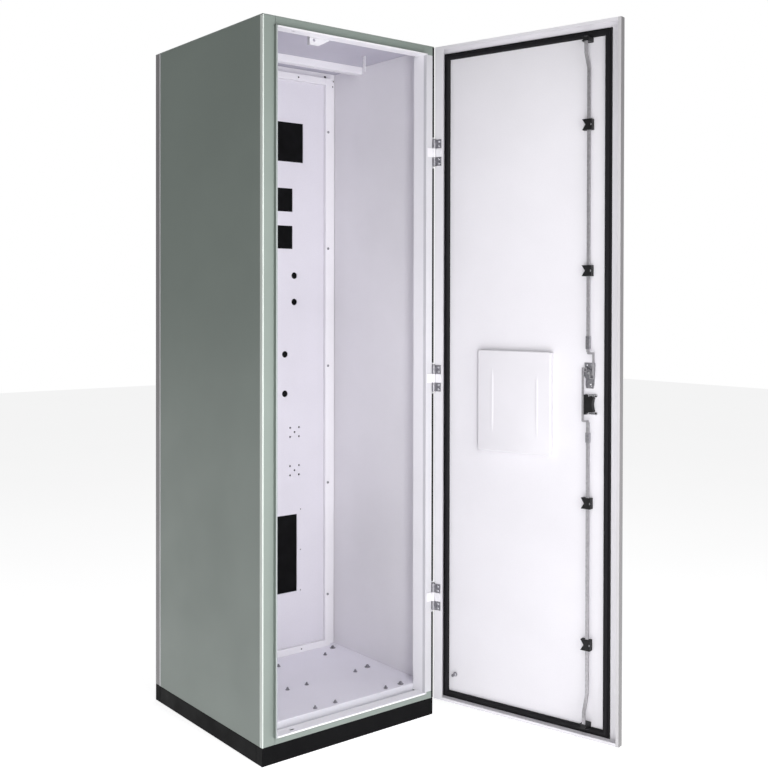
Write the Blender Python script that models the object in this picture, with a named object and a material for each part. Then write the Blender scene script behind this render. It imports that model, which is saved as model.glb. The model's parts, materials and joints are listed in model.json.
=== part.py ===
"""Floor-standing battery cabinet: a sheet-steel enclosure on a plinth, with one tall hinged door.

Metres, +Z up. The front faces -Y and +X is to the right of someone facing it. The origin is at floor
level, in the middle of the front plinth rail's foot. Every moving piece is drawn where it sits with
the door shut and locked, on the empty that marks its joint; the empties then open the door, turn the
handle and draw the rods in.
"""
import math

import bmesh
import bpy

# ---- driving dimensions -------------------------------------------------------------------------
HALF_WIDTH = 0.300
HEIGHT = 2.000
PLINTH_HEIGHT = 0.050
FRONT_Y = -0.015
BODY_BACK_Y = 0.580
BACK_Y = 0.605
SHEET = 0.002
GAP = 0.0003
BODY_LOW = PLINTH_HEIGHT + GAP
BODY_HIGH = HEIGHT - SHEET - GAP

# front frame: a lip rings the opening and presses on the door's gasket
OPENING_HALF_WIDTH = 0.260
OPENING_LOW = 0.076
OPENING_HIGH = 1.968
LIP_THICKNESS = 0.005
LIP_REACH = 0.012
LIP_FRONT_Y = FRONT_Y - LIP_REACH
LIP_OUTER_X = OPENING_HALF_WIDTH + LIP_THICKNESS
POST_BACK_Y = 0.030
RAIL_BACK_Y = 0.010

# rear frame, floor and roof
REAR_POST_X = 0.262
REAR_POST_FRONT_Y = 0.535
REAR_RAIL_FRONT_Y = 0.555
REAR_RAIL_HEIGHT = 0.036
FLOOR_TOP = 0.089
PLINTH_SHEET = 0.0025
PLINTH_FLANGE = 0.030
STIFFENER_FRONT_Y = 0.335
STIFFENER_WIDTH = 0.030
STIFFENER_DEPTH = 0.023

# instrument panel and the four rails around it
PANEL_FRONT_Y = 0.485
PANEL_THICKNESS = 0.0024
PANEL_HALF_WIDTH = 0.250
PANEL_LOW = 0.111
PANEL_HIGH = 1.9567
RAIL_FACE_Y = 0.473
RAIL_FACE_WIDTH = 0.021
RAIL_FACE_X = PANEL_HALF_WIDTH + GAP
RAIL_FOOT_X = 0.2965
RAIL_TONGUE = 0.018
RAIL_TOP_HEIGHT = 0.022

# door
DOOR_OPEN = math.radians(104.8)
DOOR_HINGE_SIDE_X = 0.297
DOOR_FREE_SIDE_X = -0.2985
DOOR_LOW = 0.048
DOOR_HIGH = 1.998
DOOR_RIM_Y = FRONT_Y - 0.005
DOOR_DEPTH = 0.020
DOOR_SKIN_Y = DOOR_RIM_Y - DOOR_DEPTH
DOOR_PANEL_Y = DOOR_SKIN_Y + SHEET
DOOR_FLANGE = 0.009
DOOR_HINGE_FLANGE = 0.029
ON_PANEL_Y = DOOR_PANEL_Y + GAP
GASKET_WIDTH = 0.0195
GASKET_SPAN_X = (-0.266, 0.2725)
GASKET_SPAN_Z = (0.059, 1.9765)

# hinges
HINGE_AXIS = (0.2985, -0.0175, 0.0)
HINGE_HEIGHTS = {"top": 1.683, "middle": 1.010, "bottom": 0.355}
KNUCKLE_RADIUS = 0.005
PIN_RADIUS = 0.0025
HINGE_HALF_HEIGHT = 0.039
MIDDLE_KNUCKLE_HALF = 0.013
LEAF_INNER_X = 0.2695
LEAF_THICKNESS = 0.002

# lock: swing handle outside, cam and two rods inside
ROD_X = -0.202
SPINDLE_Z = 1.045
CYLINDER_Z = 0.960
HANDLE_SWING = math.radians(90)
CRANK_RADIUS = 0.0124
CRANK_PIN_RADIUS = 0.0025
# the rods follow the handle at a constant rate; the yokes' slots take up the crank's own curve
ROD_RATE = 0.925 * CRANK_RADIUS
ROD_TRAVEL = ROD_RATE * HANDLE_SWING
YOKE_SLACK = 0.0006
ROD_WIDTH = 0.009
ROD_THICKNESS = 0.005
ROD_Y = DOOR_SKIN_Y + 0.013
ROD_END_Y = DOOR_SKIN_Y + 0.0315
YOKE_THICKNESS = 0.003
GUIDE_WIDTH = 0.036
GUIDE_HEIGHT = 0.030
GUIDE_HEIGHTS = {"upper_outer": 1.721, "upper_inner": 1.324, "lower_inner": 0.690, "lower_outer": 0.303}
END_GUIDE_WIDTH = 0.030
END_GUIDE_HEIGHT = 0.012
END_GUIDE_CENTRES = {"top": 1.9495, "bottom": 0.086}
ROD_TOP = OPENING_HIGH + 0.0065
ROD_BOTTOM = OPENING_LOW - 0.0065
LEVER_PIVOT_Y = DOOR_SKIN_Y - 0.0135
LEVER_HALF_THICKNESS = 0.0065
LEVER_HALF_WIDTH = 0.015
LEVER_LENGTH = 0.145
BASE_FRONT_Y = DOOR_SKIN_Y - 0.0063

# place of each joint's empty, shut and locked
JOINTS = {
    "door": HINGE_AXIS,
    "handle": (ROD_X, DOOR_SKIN_Y, SPINDLE_Z),
    "lever": (ROD_X, LEVER_PIVOT_Y, SPINDLE_Z),
    "key": (ROD_X, BASE_FRONT_Y, CYLINDER_Z),
    "key_cover": (ROD_X, LEVER_PIVOT_Y - LEVER_HALF_THICKNESS, CYLINDER_Z + 0.0155),
    "upper_rod": (ROD_X, ROD_Y, SPINDLE_Z + ROD_TRAVEL / 2),
    "lower_rod": (ROD_X, ROD_Y, SPINDLE_Z - ROD_TRAVEL / 2),
}
JOINT_PARENTS = {"door": None, "handle": "door", "lever": "handle", "key": "door",
                 "key_cover": "lever", "upper_rod": "door", "lower_rod": "door"}

AXES = {"X": (1, 2, 0), "Y": (0, 2, 1), "Z": (0, 1, 2)}
ROUND = 24


# ---- materials ----------------------------------------------------------------------------------
def material(name, colour, roughness, metallic=0.0):
    made = bpy.data.materials.new(name)
    made.use_nodes = True
    shader = made.node_tree.nodes["Principled BSDF"]
    shader.inputs["Base Color"].default_value = (*colour, 1.0)
    shader.inputs["Roughness"].default_value = roughness
    shader.inputs["Metallic"].default_value = metallic
    return made


def make_materials():
    return {
        "outer_paint": material("outer_paint", (0.36, 0.40, 0.37), 0.55),
        "inner_paint": material("inner_paint", (0.78, 0.78, 0.82), 0.5),
        "plinth_paint": material("plinth_paint", (0.012, 0.012, 0.014), 0.45),
        "gasket_foam": material("gasket_foam", (0.02, 0.018, 0.022), 0.9),
        "black_plastic": material("black_plastic", (0.03, 0.028, 0.03), 0.5),
        "pocket_plastic": material("pocket_plastic", (0.8, 0.8, 0.82), 0.4),
        "zinc_steel": material("zinc_steel", (0.5, 0.49, 0.51), 0.35, 1.0),
    }


# ---- modelling helpers --------------------------------------------------------------------------
def joint_empties():
    """One empty on each joint's axis, nested the way the joints are."""
    empties = {}
    for name, place in JOINTS.items():
        empty = bpy.data.objects.new(name + "_joint", None)
        bpy.context.collection.objects.link(empty)
        parent = JOINT_PARENTS[name]
        start = JOINTS[parent] if parent else (0.0, 0.0, 0.0)
        empty.parent = empties.get(parent)
        empty.location = [place[i] - start[i] for i in range(3)]
        empties[name] = empty
    empties["door"].rotation_euler = (0.0, 0.0, DOOR_OPEN)
    empties["handle"].rotation_euler = (0.0, -HANDLE_SWING, 0.0)
    empties["upper_rod"].location.z -= ROD_TRAVEL
    empties["lower_rod"].location.z += ROD_TRAVEL
    return empties


def add_object(name, mesh_builder, paint=None, joint=None):
    """Put a bmesh into the scene, with its origin on its joint when it has one."""
    if joint:
        shift = [-value for value in JOINTS[joint]]
        bmesh.ops.translate(mesh_builder, verts=mesh_builder.verts, vec=shift)
    bmesh.ops.recalc_face_normals(mesh_builder, faces=mesh_builder.faces)
    mesh = bpy.data.meshes.new(name)
    mesh_builder.to_mesh(mesh)
    mesh_builder.free()
    made = bpy.data.objects.new(name, mesh)
    bpy.context.collection.objects.link(made)
    if joint:
        made.parent = EMPTIES[joint]
    if paint:
        mesh.materials.append(PAINT[paint])
    return made


def prism_mesh(outline, axis, low, high):
    """Extrude a flat outline along an axis. The outline's pairs are the other two axes, in order."""
    first, second, along = AXES[axis]
    shape = bmesh.new()
    ring = []
    for pair in outline:
        place = [0.0, 0.0, 0.0]
        place[first], place[second], place[along] = pair[0], pair[1], low
        ring.append(shape.verts.new(place))
    face = shape.faces.new(ring)
    extruded = bmesh.ops.extrude_face_region(shape, geom=[face])
    moved = [item for item in extruded["geom"] if isinstance(item, bmesh.types.BMVert)]
    travel = [0.0, 0.0, 0.0]
    travel[along] = high - low
    bmesh.ops.translate(shape, verts=moved, vec=travel)
    return shape


def merged(name, shapes):
    """Put several closed shapes into one object."""
    whole = bmesh.new()
    for shape in shapes:
        single = bpy.data.meshes.new(name)
        shape.to_mesh(single)
        shape.free()
        whole.from_mesh(single)
        bpy.data.meshes.remove(single)
    return add_object(name, whole)


def prism(name, outline, axis, low, high, paint=None, joint=None):
    return add_object(name, prism_mesh(outline, axis, low, high), paint, joint)


def rectangle(low, high):
    return [(low[0], low[1]), (high[0], low[1]), (high[0], high[1]), (low[0], high[1])]


def block(name, low, high, paint=None, joint=None):
    outline = rectangle(low[:2], high[:2])
    return prism(name, outline, "Z", low[2], high[2], paint, joint)


def arc(centre, radius, start, end, steps):
    """Points along an arc, in degrees, both ends included."""
    points = []
    for step in range(steps + 1):
        angle = math.radians(start + (end - start) * step / steps)
        points.append((centre[0] + radius * math.cos(angle), centre[1] + radius * math.sin(angle)))
    return points


def circle(centre, radius, steps=ROUND):
    return arc(centre, radius, 0.0, 360.0, steps)[:-1]


def cylinder(name, centre, radius, axis, low, high, paint=None, joint=None):
    made = prism(name, circle(centre, radius), axis, low, high, paint, joint)
    made.data.shade_smooth()
    made.data.set_sharp_from_angle(angle=math.radians(40))
    return made


def combine(target, tool, operation):
    """Boolean a hidden helper into the target."""
    tool.hide_render = True
    tool.display_type = "WIRE"
    change = target.modifiers.new(tool.name, "BOOLEAN")
    change.operation = operation
    change.solver = "EXACT"
    change.object = tool


def cut(target, *tools):
    for tool in tools:
        combine(target, tool, "DIFFERENCE")


def join(target, *tools):
    for tool in tools:
        combine(target, tool, "UNION")


def mirrored(outline):
    return [(-x, y) for x, y in outline]


def channel(first_low, first_high, second_low, second_high, open_side, sheet=SHEET):
    """Outline of a folded channel that fills a rectangle and is open on one side."""
    a, b, c, d = first_low, first_high, second_low, second_high
    outlines = {
        "+first": [(b, c), (a, c), (a, d), (b, d), (b, d - sheet), (a + sheet, d - sheet),
                   (a + sheet, c + sheet), (b, c + sheet)],
        "-first": [(a, c), (b, c), (b, d), (a, d), (a, d - sheet), (b - sheet, d - sheet),
                   (b - sheet, c + sheet), (a, c + sheet)],
        "+second": [(a, d), (a, c), (b, c), (b, d), (b - sheet, d), (b - sheet, c + sheet),
                    (a + sheet, c + sheet), (a + sheet, d)],
        "-second": [(a, c), (a, d), (b, d), (b, c), (b - sheet, c), (b - sheet, d - sheet),
                    (a + sheet, d - sheet), (a + sheet, c)],
    }
    return outlines[open_side]


# ---- plinth -------------------------------------------------------------------------------------
def make_plinth():
    rear_inner = BACK_Y - PLINTH_FLANGE
    front_inner = FRONT_Y + PLINTH_FLANGE
    front = channel(FRONT_Y, front_inner, 0.0, PLINTH_HEIGHT, "+first", PLINTH_SHEET)
    rear = channel(rear_inner, BACK_Y, 0.0, PLINTH_HEIGHT, "-first", PLINTH_SHEET)
    rails = (("front", front, (FRONT_Y, front_inner)), ("rear", rear, (rear_inner, BACK_Y)))
    for name, outline, span in rails:
        rail = prism(f"plinth_{name}_rail", outline, "X", -HALF_WIDTH, HALF_WIDTH, "plinth_paint")
        for side in (-1, 1):
            xs = sorted((side * HALF_WIDTH, side * (HALF_WIDTH - PLINTH_SHEET)))
            join(rail, block(f"plinth_{name}_end", (xs[0], span[0], 0.0), (xs[1], span[1], PLINTH_HEIGHT)))
    inner = HALF_WIDTH - PLINTH_FLANGE
    left = channel(-HALF_WIDTH, -inner, 0.0, PLINTH_HEIGHT, "+first", PLINTH_SHEET)
    right = channel(inner, HALF_WIDTH, 0.0, PLINTH_HEIGHT, "-first", PLINTH_SHEET)
    span = (front_inner + GAP, rear_inner - GAP)
    prism("plinth_left_rail", left, "Y", *span, "plinth_paint")
    prism("plinth_right_rail", right, "Y", *span, "plinth_paint")


# ---- body shell ---------------------------------------------------------------------------------
def front_post_outline():
    """Right-hand post: face, lip, return into the cabinet and a back leg towards the wall."""
    inner = OPENING_HALF_WIDTH
    wall_side = HALF_WIDTH - SHEET - 0.001
    return [
        (HALF_WIDTH, FRONT_Y), (HALF_WIDTH, FRONT_Y + SHEET),
        (inner + SHEET, FRONT_Y + SHEET), (inner + SHEET, POST_BACK_Y - SHEET),
        (wall_side, POST_BACK_Y - SHEET), (wall_side, POST_BACK_Y),
        (inner, POST_BACK_Y), (inner, LIP_FRONT_Y),
        (LIP_OUTER_X, LIP_FRONT_Y), (LIP_OUTER_X, FRONT_Y),
    ]


def lip_trimmer(name, side, low, high):
    """Removes a post's lip beyond the ends of the opening."""
    edge = LIP_OUTER_X + 0.001
    xs = sorted((side * (OPENING_HALF_WIDTH - 0.001), side * edge))
    return block(name, (xs[0], LIP_FRONT_Y - 0.001, low), (xs[1], FRONT_Y, high))


def hinge_relief(name, height, joint=None):
    """Round notch that leaves room for a hinge's knuckles."""
    reach = HINGE_HALF_HEIGHT + 0.004
    centre = HINGE_AXIS[:2]
    outline = circle(centre, KNUCKLE_RADIUS + 0.0006)
    return prism(name, outline, "Z", height - reach, height + reach, None, joint)


def rod_slot(name, height):
    """Slot in a rail's return that takes the end of a rod."""
    half_x = ROD_WIDTH / 2 + 0.002
    half_y = ROD_THICKNESS / 2 + 0.0012
    return block(name, (ROD_X - half_x, ROD_END_Y - half_y, height - 0.004),
                 (ROD_X + half_x, ROD_END_Y + half_y, height + 0.004))


def make_front_frame():
    lip_low = OPENING_LOW - LIP_THICKNESS
    lip_high = OPENING_HIGH + LIP_THICKNESS
    outlines = {"left": (-1, mirrored(front_post_outline())), "right": (1, front_post_outline())}
    posts = {}
    for name, (side, outline) in outlines.items():
        post = prism("front_post_" + name, outline, "Z", BODY_LOW, BODY_HIGH, "outer_paint")
        cut(post, lip_trimmer("trim_low_" + name, side, BODY_LOW - 0.001, lip_low),
            lip_trimmer("trim_high_" + name, side, lip_high, BODY_HIGH + 0.001))
        posts[name] = post
    for place, height in HINGE_HEIGHTS.items():
        cut(posts["right"], hinge_relief("post_relief_" + place, height))
    span = OPENING_HALF_WIDTH - GAP
    high, low = BODY_HIGH, BODY_LOW
    top = [
        (FRONT_Y, high), (FRONT_Y, lip_high), (LIP_FRONT_Y, lip_high), (LIP_FRONT_Y, OPENING_HIGH),
        (RAIL_BACK_Y, OPENING_HIGH), (RAIL_BACK_Y, high), (RAIL_BACK_Y - SHEET, high),
        (RAIL_BACK_Y - SHEET, OPENING_HIGH + SHEET), (FRONT_Y + SHEET, OPENING_HIGH + SHEET),
        (FRONT_Y + SHEET, high),
    ]
    bottom = [
        (FRONT_Y, low), (FRONT_Y, lip_low), (LIP_FRONT_Y, lip_low), (LIP_FRONT_Y, OPENING_LOW),
        (RAIL_BACK_Y, OPENING_LOW), (RAIL_BACK_Y, low), (RAIL_BACK_Y - SHEET, low),
        (RAIL_BACK_Y - SHEET, OPENING_LOW - SHEET), (FRONT_Y + SHEET, OPENING_LOW - SHEET),
        (FRONT_Y + SHEET, low),
    ]
    top_rail = prism("front_top_rail", top, "X", -span, span, "outer_paint")
    bottom_rail = prism("front_bottom_rail", bottom, "X", -span, span, "outer_paint")
    cut(top_rail, rod_slot("top_rod_slot", OPENING_HIGH))
    cut(bottom_rail, rod_slot("bottom_rod_slot", OPENING_LOW))


def make_walls():
    front = FRONT_Y + SHEET + GAP
    back = BODY_BACK_Y - GAP
    outer, inner = HALF_WIDTH, HALF_WIDTH - SHEET
    block("side_wall_left", (-outer, front, BODY_LOW), (-inner, back, BODY_HIGH), "outer_paint")
    right = block("side_wall_right", (inner, front, BODY_LOW), (outer, back, BODY_HIGH), "outer_paint")
    for place, height in HINGE_HEIGHTS.items():
        cut(right, hinge_relief("wall_relief_" + place, height))
    block("roof_panel", (-outer, FRONT_Y, HEIGHT - SHEET), (outer, back, HEIGHT), "outer_paint")


def make_rear():
    back = BODY_BACK_Y - GAP
    wall_side = HALF_WIDTH - SHEET - GAP
    post = channel(REAR_POST_X, wall_side, REAR_POST_FRONT_Y, back, "+first")
    prism("rear_post_right", post, "Z", BODY_LOW, BODY_HIGH, "inner_paint")
    prism("rear_post_left", mirrored(post), "Z", BODY_LOW, BODY_HIGH, "inner_paint")
    span = REAR_POST_X - GAP
    top = channel(REAR_RAIL_FRONT_Y, back, BODY_HIGH - REAR_RAIL_HEIGHT, BODY_HIGH, "-first")
    bottom = channel(REAR_RAIL_FRONT_Y, back, BODY_LOW, BODY_LOW + REAR_RAIL_HEIGHT, "-first")
    prism("rear_top_rail", top, "X", -span, span, "inner_paint")
    prism("rear_bottom_rail", bottom, "X", -span, span, "inner_paint")
    cover = block("rear_cover", (-HALF_WIDTH, BODY_BACK_Y, BODY_LOW),
                  (HALF_WIDTH, BACK_Y, HEIGHT), "outer_paint")
    hollow = HALF_WIDTH - SHEET
    cut(cover, block("rear_cover_hollow", (-hollow, BODY_BACK_Y - 0.001, BODY_LOW + SHEET),
                     (hollow, BACK_Y - SHEET, HEIGHT - SHEET)))


def make_floor():
    span = HALF_WIDTH - SHEET - GAP
    outline = channel(POST_BACK_Y + 0.0005, REAR_POST_FRONT_Y - 0.0005, BODY_LOW, FLOOR_TOP, "-second")
    prism("floor_plate", outline, "X", -span, span, "inner_paint")


# ---- instrument panel ---------------------------------------------------------------------------
# cut-outs, as centre height, width and height, all centred on the panel
INSTRUMENT_WINDOWS = ((1.756, 0.336, 0.128), (1.568, 0.254, 0.076), (1.447, 0.254, 0.075),
                      (0.4165, 0.291, 0.253))
BUTTON_ROWS = ((1.323, 0.134), (1.237, 0.134), (1.067, 0.098), (0.939, 0.098))
BUTTON_HOLE_RADIUS = 0.011
SOCKET_ROWS = (0.812, 0.687)
SOCKET_X = 0.136
SOCKET_HOLE_RADIUS = 0.0035
SOCKET_SPACING = (0.0345, 0.030)
BREAKER_SCREW_X = 0.160
BREAKER_SCREW_HEIGHTS = (0.557, 0.424, 0.291)


def through_panel(outline):
    """A cutter's mesh that runs through both faces of the panel."""
    return prism_mesh(outline, "Y", PANEL_FRONT_Y - 0.001, PANEL_FRONT_Y + PANEL_THICKNESS + 0.001)


def panel_window(height, width, tall):
    corner = (width / 2, tall / 2)
    return through_panel(rectangle((-corner[0], height - corner[1]), (corner[0], height + corner[1])))


def panel_hole(x, height, radius, steps):
    return through_panel(circle((x, height), radius, steps))


def socket_holes(x, height):
    half_x, half_z = SOCKET_SPACING[0] / 2, SOCKET_SPACING[1] / 2
    places = [(0.0, 0.0), (-half_x, -half_z), (half_x, -half_z), (-half_x, half_z), (half_x, half_z)]
    return [panel_hole(x + dx, height + dz, SOCKET_HOLE_RADIUS, 10) for dx, dz in places]


def make_instrument_panel():
    cutouts = [panel_window(*sizes) for sizes in INSTRUMENT_WINDOWS]
    for side in (-1, 1):
        cutouts += [panel_hole(side * x, height, BUTTON_HOLE_RADIUS, 16) for height, x in BUTTON_ROWS]
        cutouts += [panel_hole(side * BREAKER_SCREW_X, height, 0.0025, 8)
                    for height in BREAKER_SCREW_HEIGHTS]
        for height in SOCKET_ROWS:
            cutouts += socket_holes(side * SOCKET_X, height)
    panel = block("instrument_panel", (-PANEL_HALF_WIDTH, PANEL_FRONT_Y, PANEL_LOW),
                  (PANEL_HALF_WIDTH, PANEL_FRONT_Y + PANEL_THICKNESS, PANEL_HIGH), "inner_paint")
    cut(panel, merged("panel_cutouts", cutouts))


def make_panel_rails():
    """Hat-section rails stand proud of the panel all round it; the side ones hold its edges."""
    behind = PANEL_FRONT_Y + PANEL_THICKNESS
    tongue = behind + GAP
    rear = tongue + SHEET
    face = RAIL_FACE_Y + SHEET
    inner, outer = RAIL_FACE_X, RAIL_FACE_X + RAIL_FACE_WIDTH
    outline = [
        (RAIL_FOOT_X, tongue), (outer, tongue), (outer, RAIL_FACE_Y), (inner, RAIL_FACE_Y),
        (inner, tongue), (inner - RAIL_TONGUE, tongue), (inner - RAIL_TONGUE, rear),
        (inner + SHEET, rear), (inner + SHEET, face), (outer - SHEET, face), (outer - SHEET, rear),
        (RAIL_FOOT_X, rear),
    ]
    low = FLOOR_TOP + GAP
    high = PANEL_HIGH + GAP + RAIL_TOP_HEIGHT
    prism("panel_rail_right", outline, "Z", low, high, "inner_paint")
    prism("panel_rail_left", mirrored(outline), "Z", low, high, "inner_paint")
    span = inner - GAP
    top = channel(RAIL_FACE_Y, behind, PANEL_HIGH + GAP, high, "+first")
    bottom = channel(RAIL_FACE_Y, behind, low, PANEL_LOW - GAP, "+first")
    prism("panel_rail_top", top, "X", -span, span, "inner_paint")
    prism("panel_rail_bottom", bottom, "X", -span, span, "inner_paint")


# ---- roof fittings --------------------------------------------------------------
def make_roof_fittings():
    span = HALF_WIDTH - SHEET - GAP
    stiffener = channel(STIFFENER_FRONT_Y, STIFFENER_FRONT_Y + STIFFENER_WIDTH,
                        BODY_HIGH - STIFFENER_DEPTH, BODY_HIGH, "+second")
    prism("roof_stiffener", stiffener, "X", -span, span, "inner_paint")
    tab_front = RAIL_BACK_Y + 0.0025
    tab_back = tab_front + SHEET
    tab_low, gusset_low = 1.9475, 1.966
    left, right, tail = -0.131, -0.101, -0.066
    outline = [(left, tab_low), (right, tab_low), (tail, gusset_low), (tail, BODY_HIGH),
               (left, BODY_HIGH)]
    bracket = prism("roof_bracket", outline, "Y", tab_front, tab_back, "inner_paint")
    join(bracket, block("roof_bracket_flange", (left, tab_front, BODY_HIGH - SHEET),
                        (right, tab_front + 0.032, BODY_HIGH)),
         block("roof_bracket_side", (left, tab_front, tab_low), (left + SHEET, tab_front + 0.012, BODY_HIGH)))
    hole = circle(((left + right) / 2, 1.9615), 0.004, 16)
    cut(bracket, prism("roof_bracket_hole", hole, "Y", tab_front - 0.001, tab_back + 0.001))
    block("cable_tab", (0.205, 0.200, 1.950), (0.207, 0.212, BODY_HIGH), "inner_paint")


# ---- hinges -------------------------------------------------------------------------------------
def leaf_outline(face_y):
    """Knuckle with a flat leaf running from it towards the middle of the door."""
    x, y = HINGE_AXIS[:2]
    low, high = face_y - LEAF_THICKNESS, face_y
    start = math.degrees(math.asin((low - y) / KNUCKLE_RADIUS))
    end = math.degrees(math.asin((high - y) / KNUCKLE_RADIUS))
    round_part = arc((x, y), KNUCKLE_RADIUS, -180.0 - start, 180.0 - end, ROUND)
    return round_part + [(LEAF_INNER_X, high), (LEAF_INNER_X, low)]


def hinge_bore(name, height, joint=None):
    reach = HINGE_HALF_HEIGHT + 0.001
    return prism(name, circle(HINGE_AXIS[:2], PIN_RADIUS + GAP), "Z", height - reach, height + reach,
                 None, joint)


def make_hinges():
    for place, height in HINGE_HEIGHTS.items():
        low, high = height - MIDDLE_KNUCKLE_HALF, height + MIDDLE_KNUCKLE_HALF
        leaf = prism("hinge_leaf_" + place, leaf_outline(FRONT_Y - GAP), "Z", low, high, "inner_paint")
        cut(leaf, hinge_bore("leaf_bore_" + place, height))
        bottom, top = height - HINGE_HALF_HEIGHT, height + HINGE_HALF_HEIGHT
        strap = prism("door_hinge_" + place, leaf_outline(DOOR_RIM_Y + GAP + LEAF_THICKNESS), "Z",
                      bottom, top, "zinc_steel", "door")
        x = HINGE_AXIS[0]
        clear = MIDDLE_KNUCKLE_HALF + GAP
        middle = block("door_hinge_gap_" + place,
                       (x - KNUCKLE_RADIUS - 0.0006, DOOR_RIM_Y - 0.006, height - clear),
                       (x + KNUCKLE_RADIUS + 0.001, FRONT_Y + 0.006, height + clear), None, "door")
        cut(strap, hinge_bore("strap_bore_" + place, height, "door"), middle)
        pin = cylinder("hinge_pin_" + place, HINGE_AXIS[:2], PIN_RADIUS, "Z", bottom - 0.002,
                       top + GAP + 0.0005, "zinc_steel")
        join(pin, cylinder("pin_head_" + place, HINGE_AXIS[:2], KNUCKLE_RADIUS - 0.0005, "Z",
                           top + GAP, top + 0.003))


# ---- door ---------------------------------------------------------------------------------------
def round_hole(name, height, radius, low, high, joint):
    return prism(name, circle((ROD_X, height), radius), "Y", low, high, None, joint)


def make_door_shell():
    left, right = DOOR_FREE_SIDE_X, DOOR_HINGE_SIDE_X
    shell = block("door_shell", (left, DOOR_SKIN_Y, DOOR_LOW), (right, DOOR_RIM_Y, DOOR_HIGH),
                  "inner_paint", "door")
    recess = block("door_recess", (left + SHEET, DOOR_PANEL_Y, DOOR_LOW + SHEET),
                   (right - SHEET, DOOR_RIM_Y - SHEET, DOOR_HIGH - SHEET), None, "door")
    mouth = block("door_mouth", (left + DOOR_FLANGE, DOOR_RIM_Y - SHEET - 0.001, DOOR_LOW + DOOR_FLANGE),
                  (right - DOOR_HINGE_FLANGE, DOOR_RIM_Y + 0.001, DOOR_HIGH - DOOR_FLANGE), None, "door")
    cut(shell, recess, mouth)
    for place, height in HINGE_HEIGHTS.items():
        cut(shell, hinge_relief("door_relief_" + place, height, "door"))
    low, high = DOOR_SKIN_Y - 0.001, DOOR_PANEL_Y + 0.001
    cut(shell, round_hole("door_spindle_hole", SPINDLE_Z, 0.008, low, high, "door"),
        round_hole("door_cylinder_hole", CYLINDER_Z, 0.0095, low, high, "door"))


def make_gasket():
    low = (GASKET_SPAN_X[0], ON_PANEL_Y, GASKET_SPAN_Z[0])
    high = (GASKET_SPAN_X[1], LIP_FRONT_Y - GAP, GASKET_SPAN_Z[1])
    gasket = block("door_gasket", low, high, "gasket_foam", "door")
    inset = GASKET_WIDTH
    cut(gasket, block("gasket_middle", (low[0] + inset, low[1] - 0.001, low[2] + inset),
                      (high[0] - inset, high[1] + 0.001, high[2] - inset), None, "door"))


def make_document_pocket():
    wall = 0.0015
    low, high = (-0.091, ON_PANEL_Y, 0.808), (0.147, ON_PANEL_Y + 0.016, 1.100)
    pocket = block("document_pocket", low, high, "pocket_plastic", "door")
    cut(pocket, block("pocket_hollow", (low[0] + wall, low[1] + wall, low[2] + wall),
                      (high[0] - wall, high[1] - wall, high[2] + 0.001), None, "door"))


def make_rod_guides():
    half = GUIDE_WIDTH / 2
    slot_x = ROD_WIDTH / 2 + GAP
    slot_y = ROD_THICKNESS / 2 + GAP
    for place, height in GUIDE_HEIGHTS.items():
        low, high = height - GUIDE_HEIGHT / 2, height + GUIDE_HEIGHT / 2
        guide = block("rod_guide_" + place, (ROD_X - half, ON_PANEL_Y, low),
                      (ROD_X + half, ROD_Y + 0.006, high), "black_plastic", "door")
        cut(guide, block("guide_slot_" + place, (ROD_X - slot_x, ROD_Y - slot_y, low - 0.001),
                         (ROD_X + slot_x, ROD_Y + slot_y, high + 0.001), None, "door"))
    for place, height in END_GUIDE_CENTRES.items():
        low, high = height - END_GUIDE_HEIGHT / 2, height + END_GUIDE_HEIGHT / 2
        guide = block("rod_end_guide_" + place, (ROD_X - END_GUIDE_WIDTH / 2, ON_PANEL_Y, low),
                      (ROD_X + END_GUIDE_WIDTH / 2, ROD_END_Y + 0.0055, high), "black_plastic", "door")
        cut(guide, block("end_slot_" + place, (ROD_X - slot_x, ROD_END_Y - slot_y, low - 0.001),
                         (ROD_X + slot_x, ROD_END_Y + slot_y, high + 0.001), None, "door"))


def make_ground_stud():
    cylinder("ground_stud", (0.231, 0.1296), 0.004, "Y", ON_PANEL_Y, ON_PANEL_Y + 0.017,
             "zinc_steel", "door")


# ---- lock ---------------------------------------------------------------------------------------
def make_lock_fittings():
    base_half = 0.018
    base_back = DOOR_SKIN_Y - GAP
    base = block("handle_base", (ROD_X - base_half, BASE_FRONT_Y, 0.885),
                 (ROD_X + base_half, base_back, 1.075), "black_plastic", "door")
    low, high = BASE_FRONT_Y - 0.001, base_back + 0.001
    cut(base, round_hole("base_spindle_hole", SPINDLE_Z, 0.0064, low, high, "door"),
        round_hole("base_cylinder_hole", CYLINDER_Z, 0.0083, low, high, "door"))
    housing = block("lock_housing", (-0.225, ON_PANEL_Y, 0.936), (-0.1925, ON_PANEL_Y + 0.016, 0.983),
                    "black_plastic", "door")
    cut(housing, round_hole("housing_bore", CYLINDER_Z, 0.0083, ON_PANEL_Y - 0.001,
                            ON_PANEL_Y + 0.0135, "door"))
    plate_half = 0.017
    plate = block("latch_plate", (ROD_X - plate_half, ON_PANEL_Y, 1.003),
                  (ROD_X + plate_half, ON_PANEL_Y + 0.0015, 1.073), "zinc_steel", "door")
    cut(plate, round_hole("plate_hole", SPINDLE_Z, 0.0064, ON_PANEL_Y - 0.001,
                          ON_PANEL_Y + 0.003, "door"))


def turned(outline):
    """The cam's outline, swung from level to where it stands when locked."""
    swing = HANDLE_SWING / 2
    sine, cosine = math.sin(swing), math.cos(swing)
    places = []
    for x, z in outline:
        dx, dz = x - ROD_X, z - SPINDLE_Z
        places.append((ROD_X + dx * cosine + dz * sine, SPINDLE_Z - dx * sine + dz * cosine))
    return places


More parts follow.
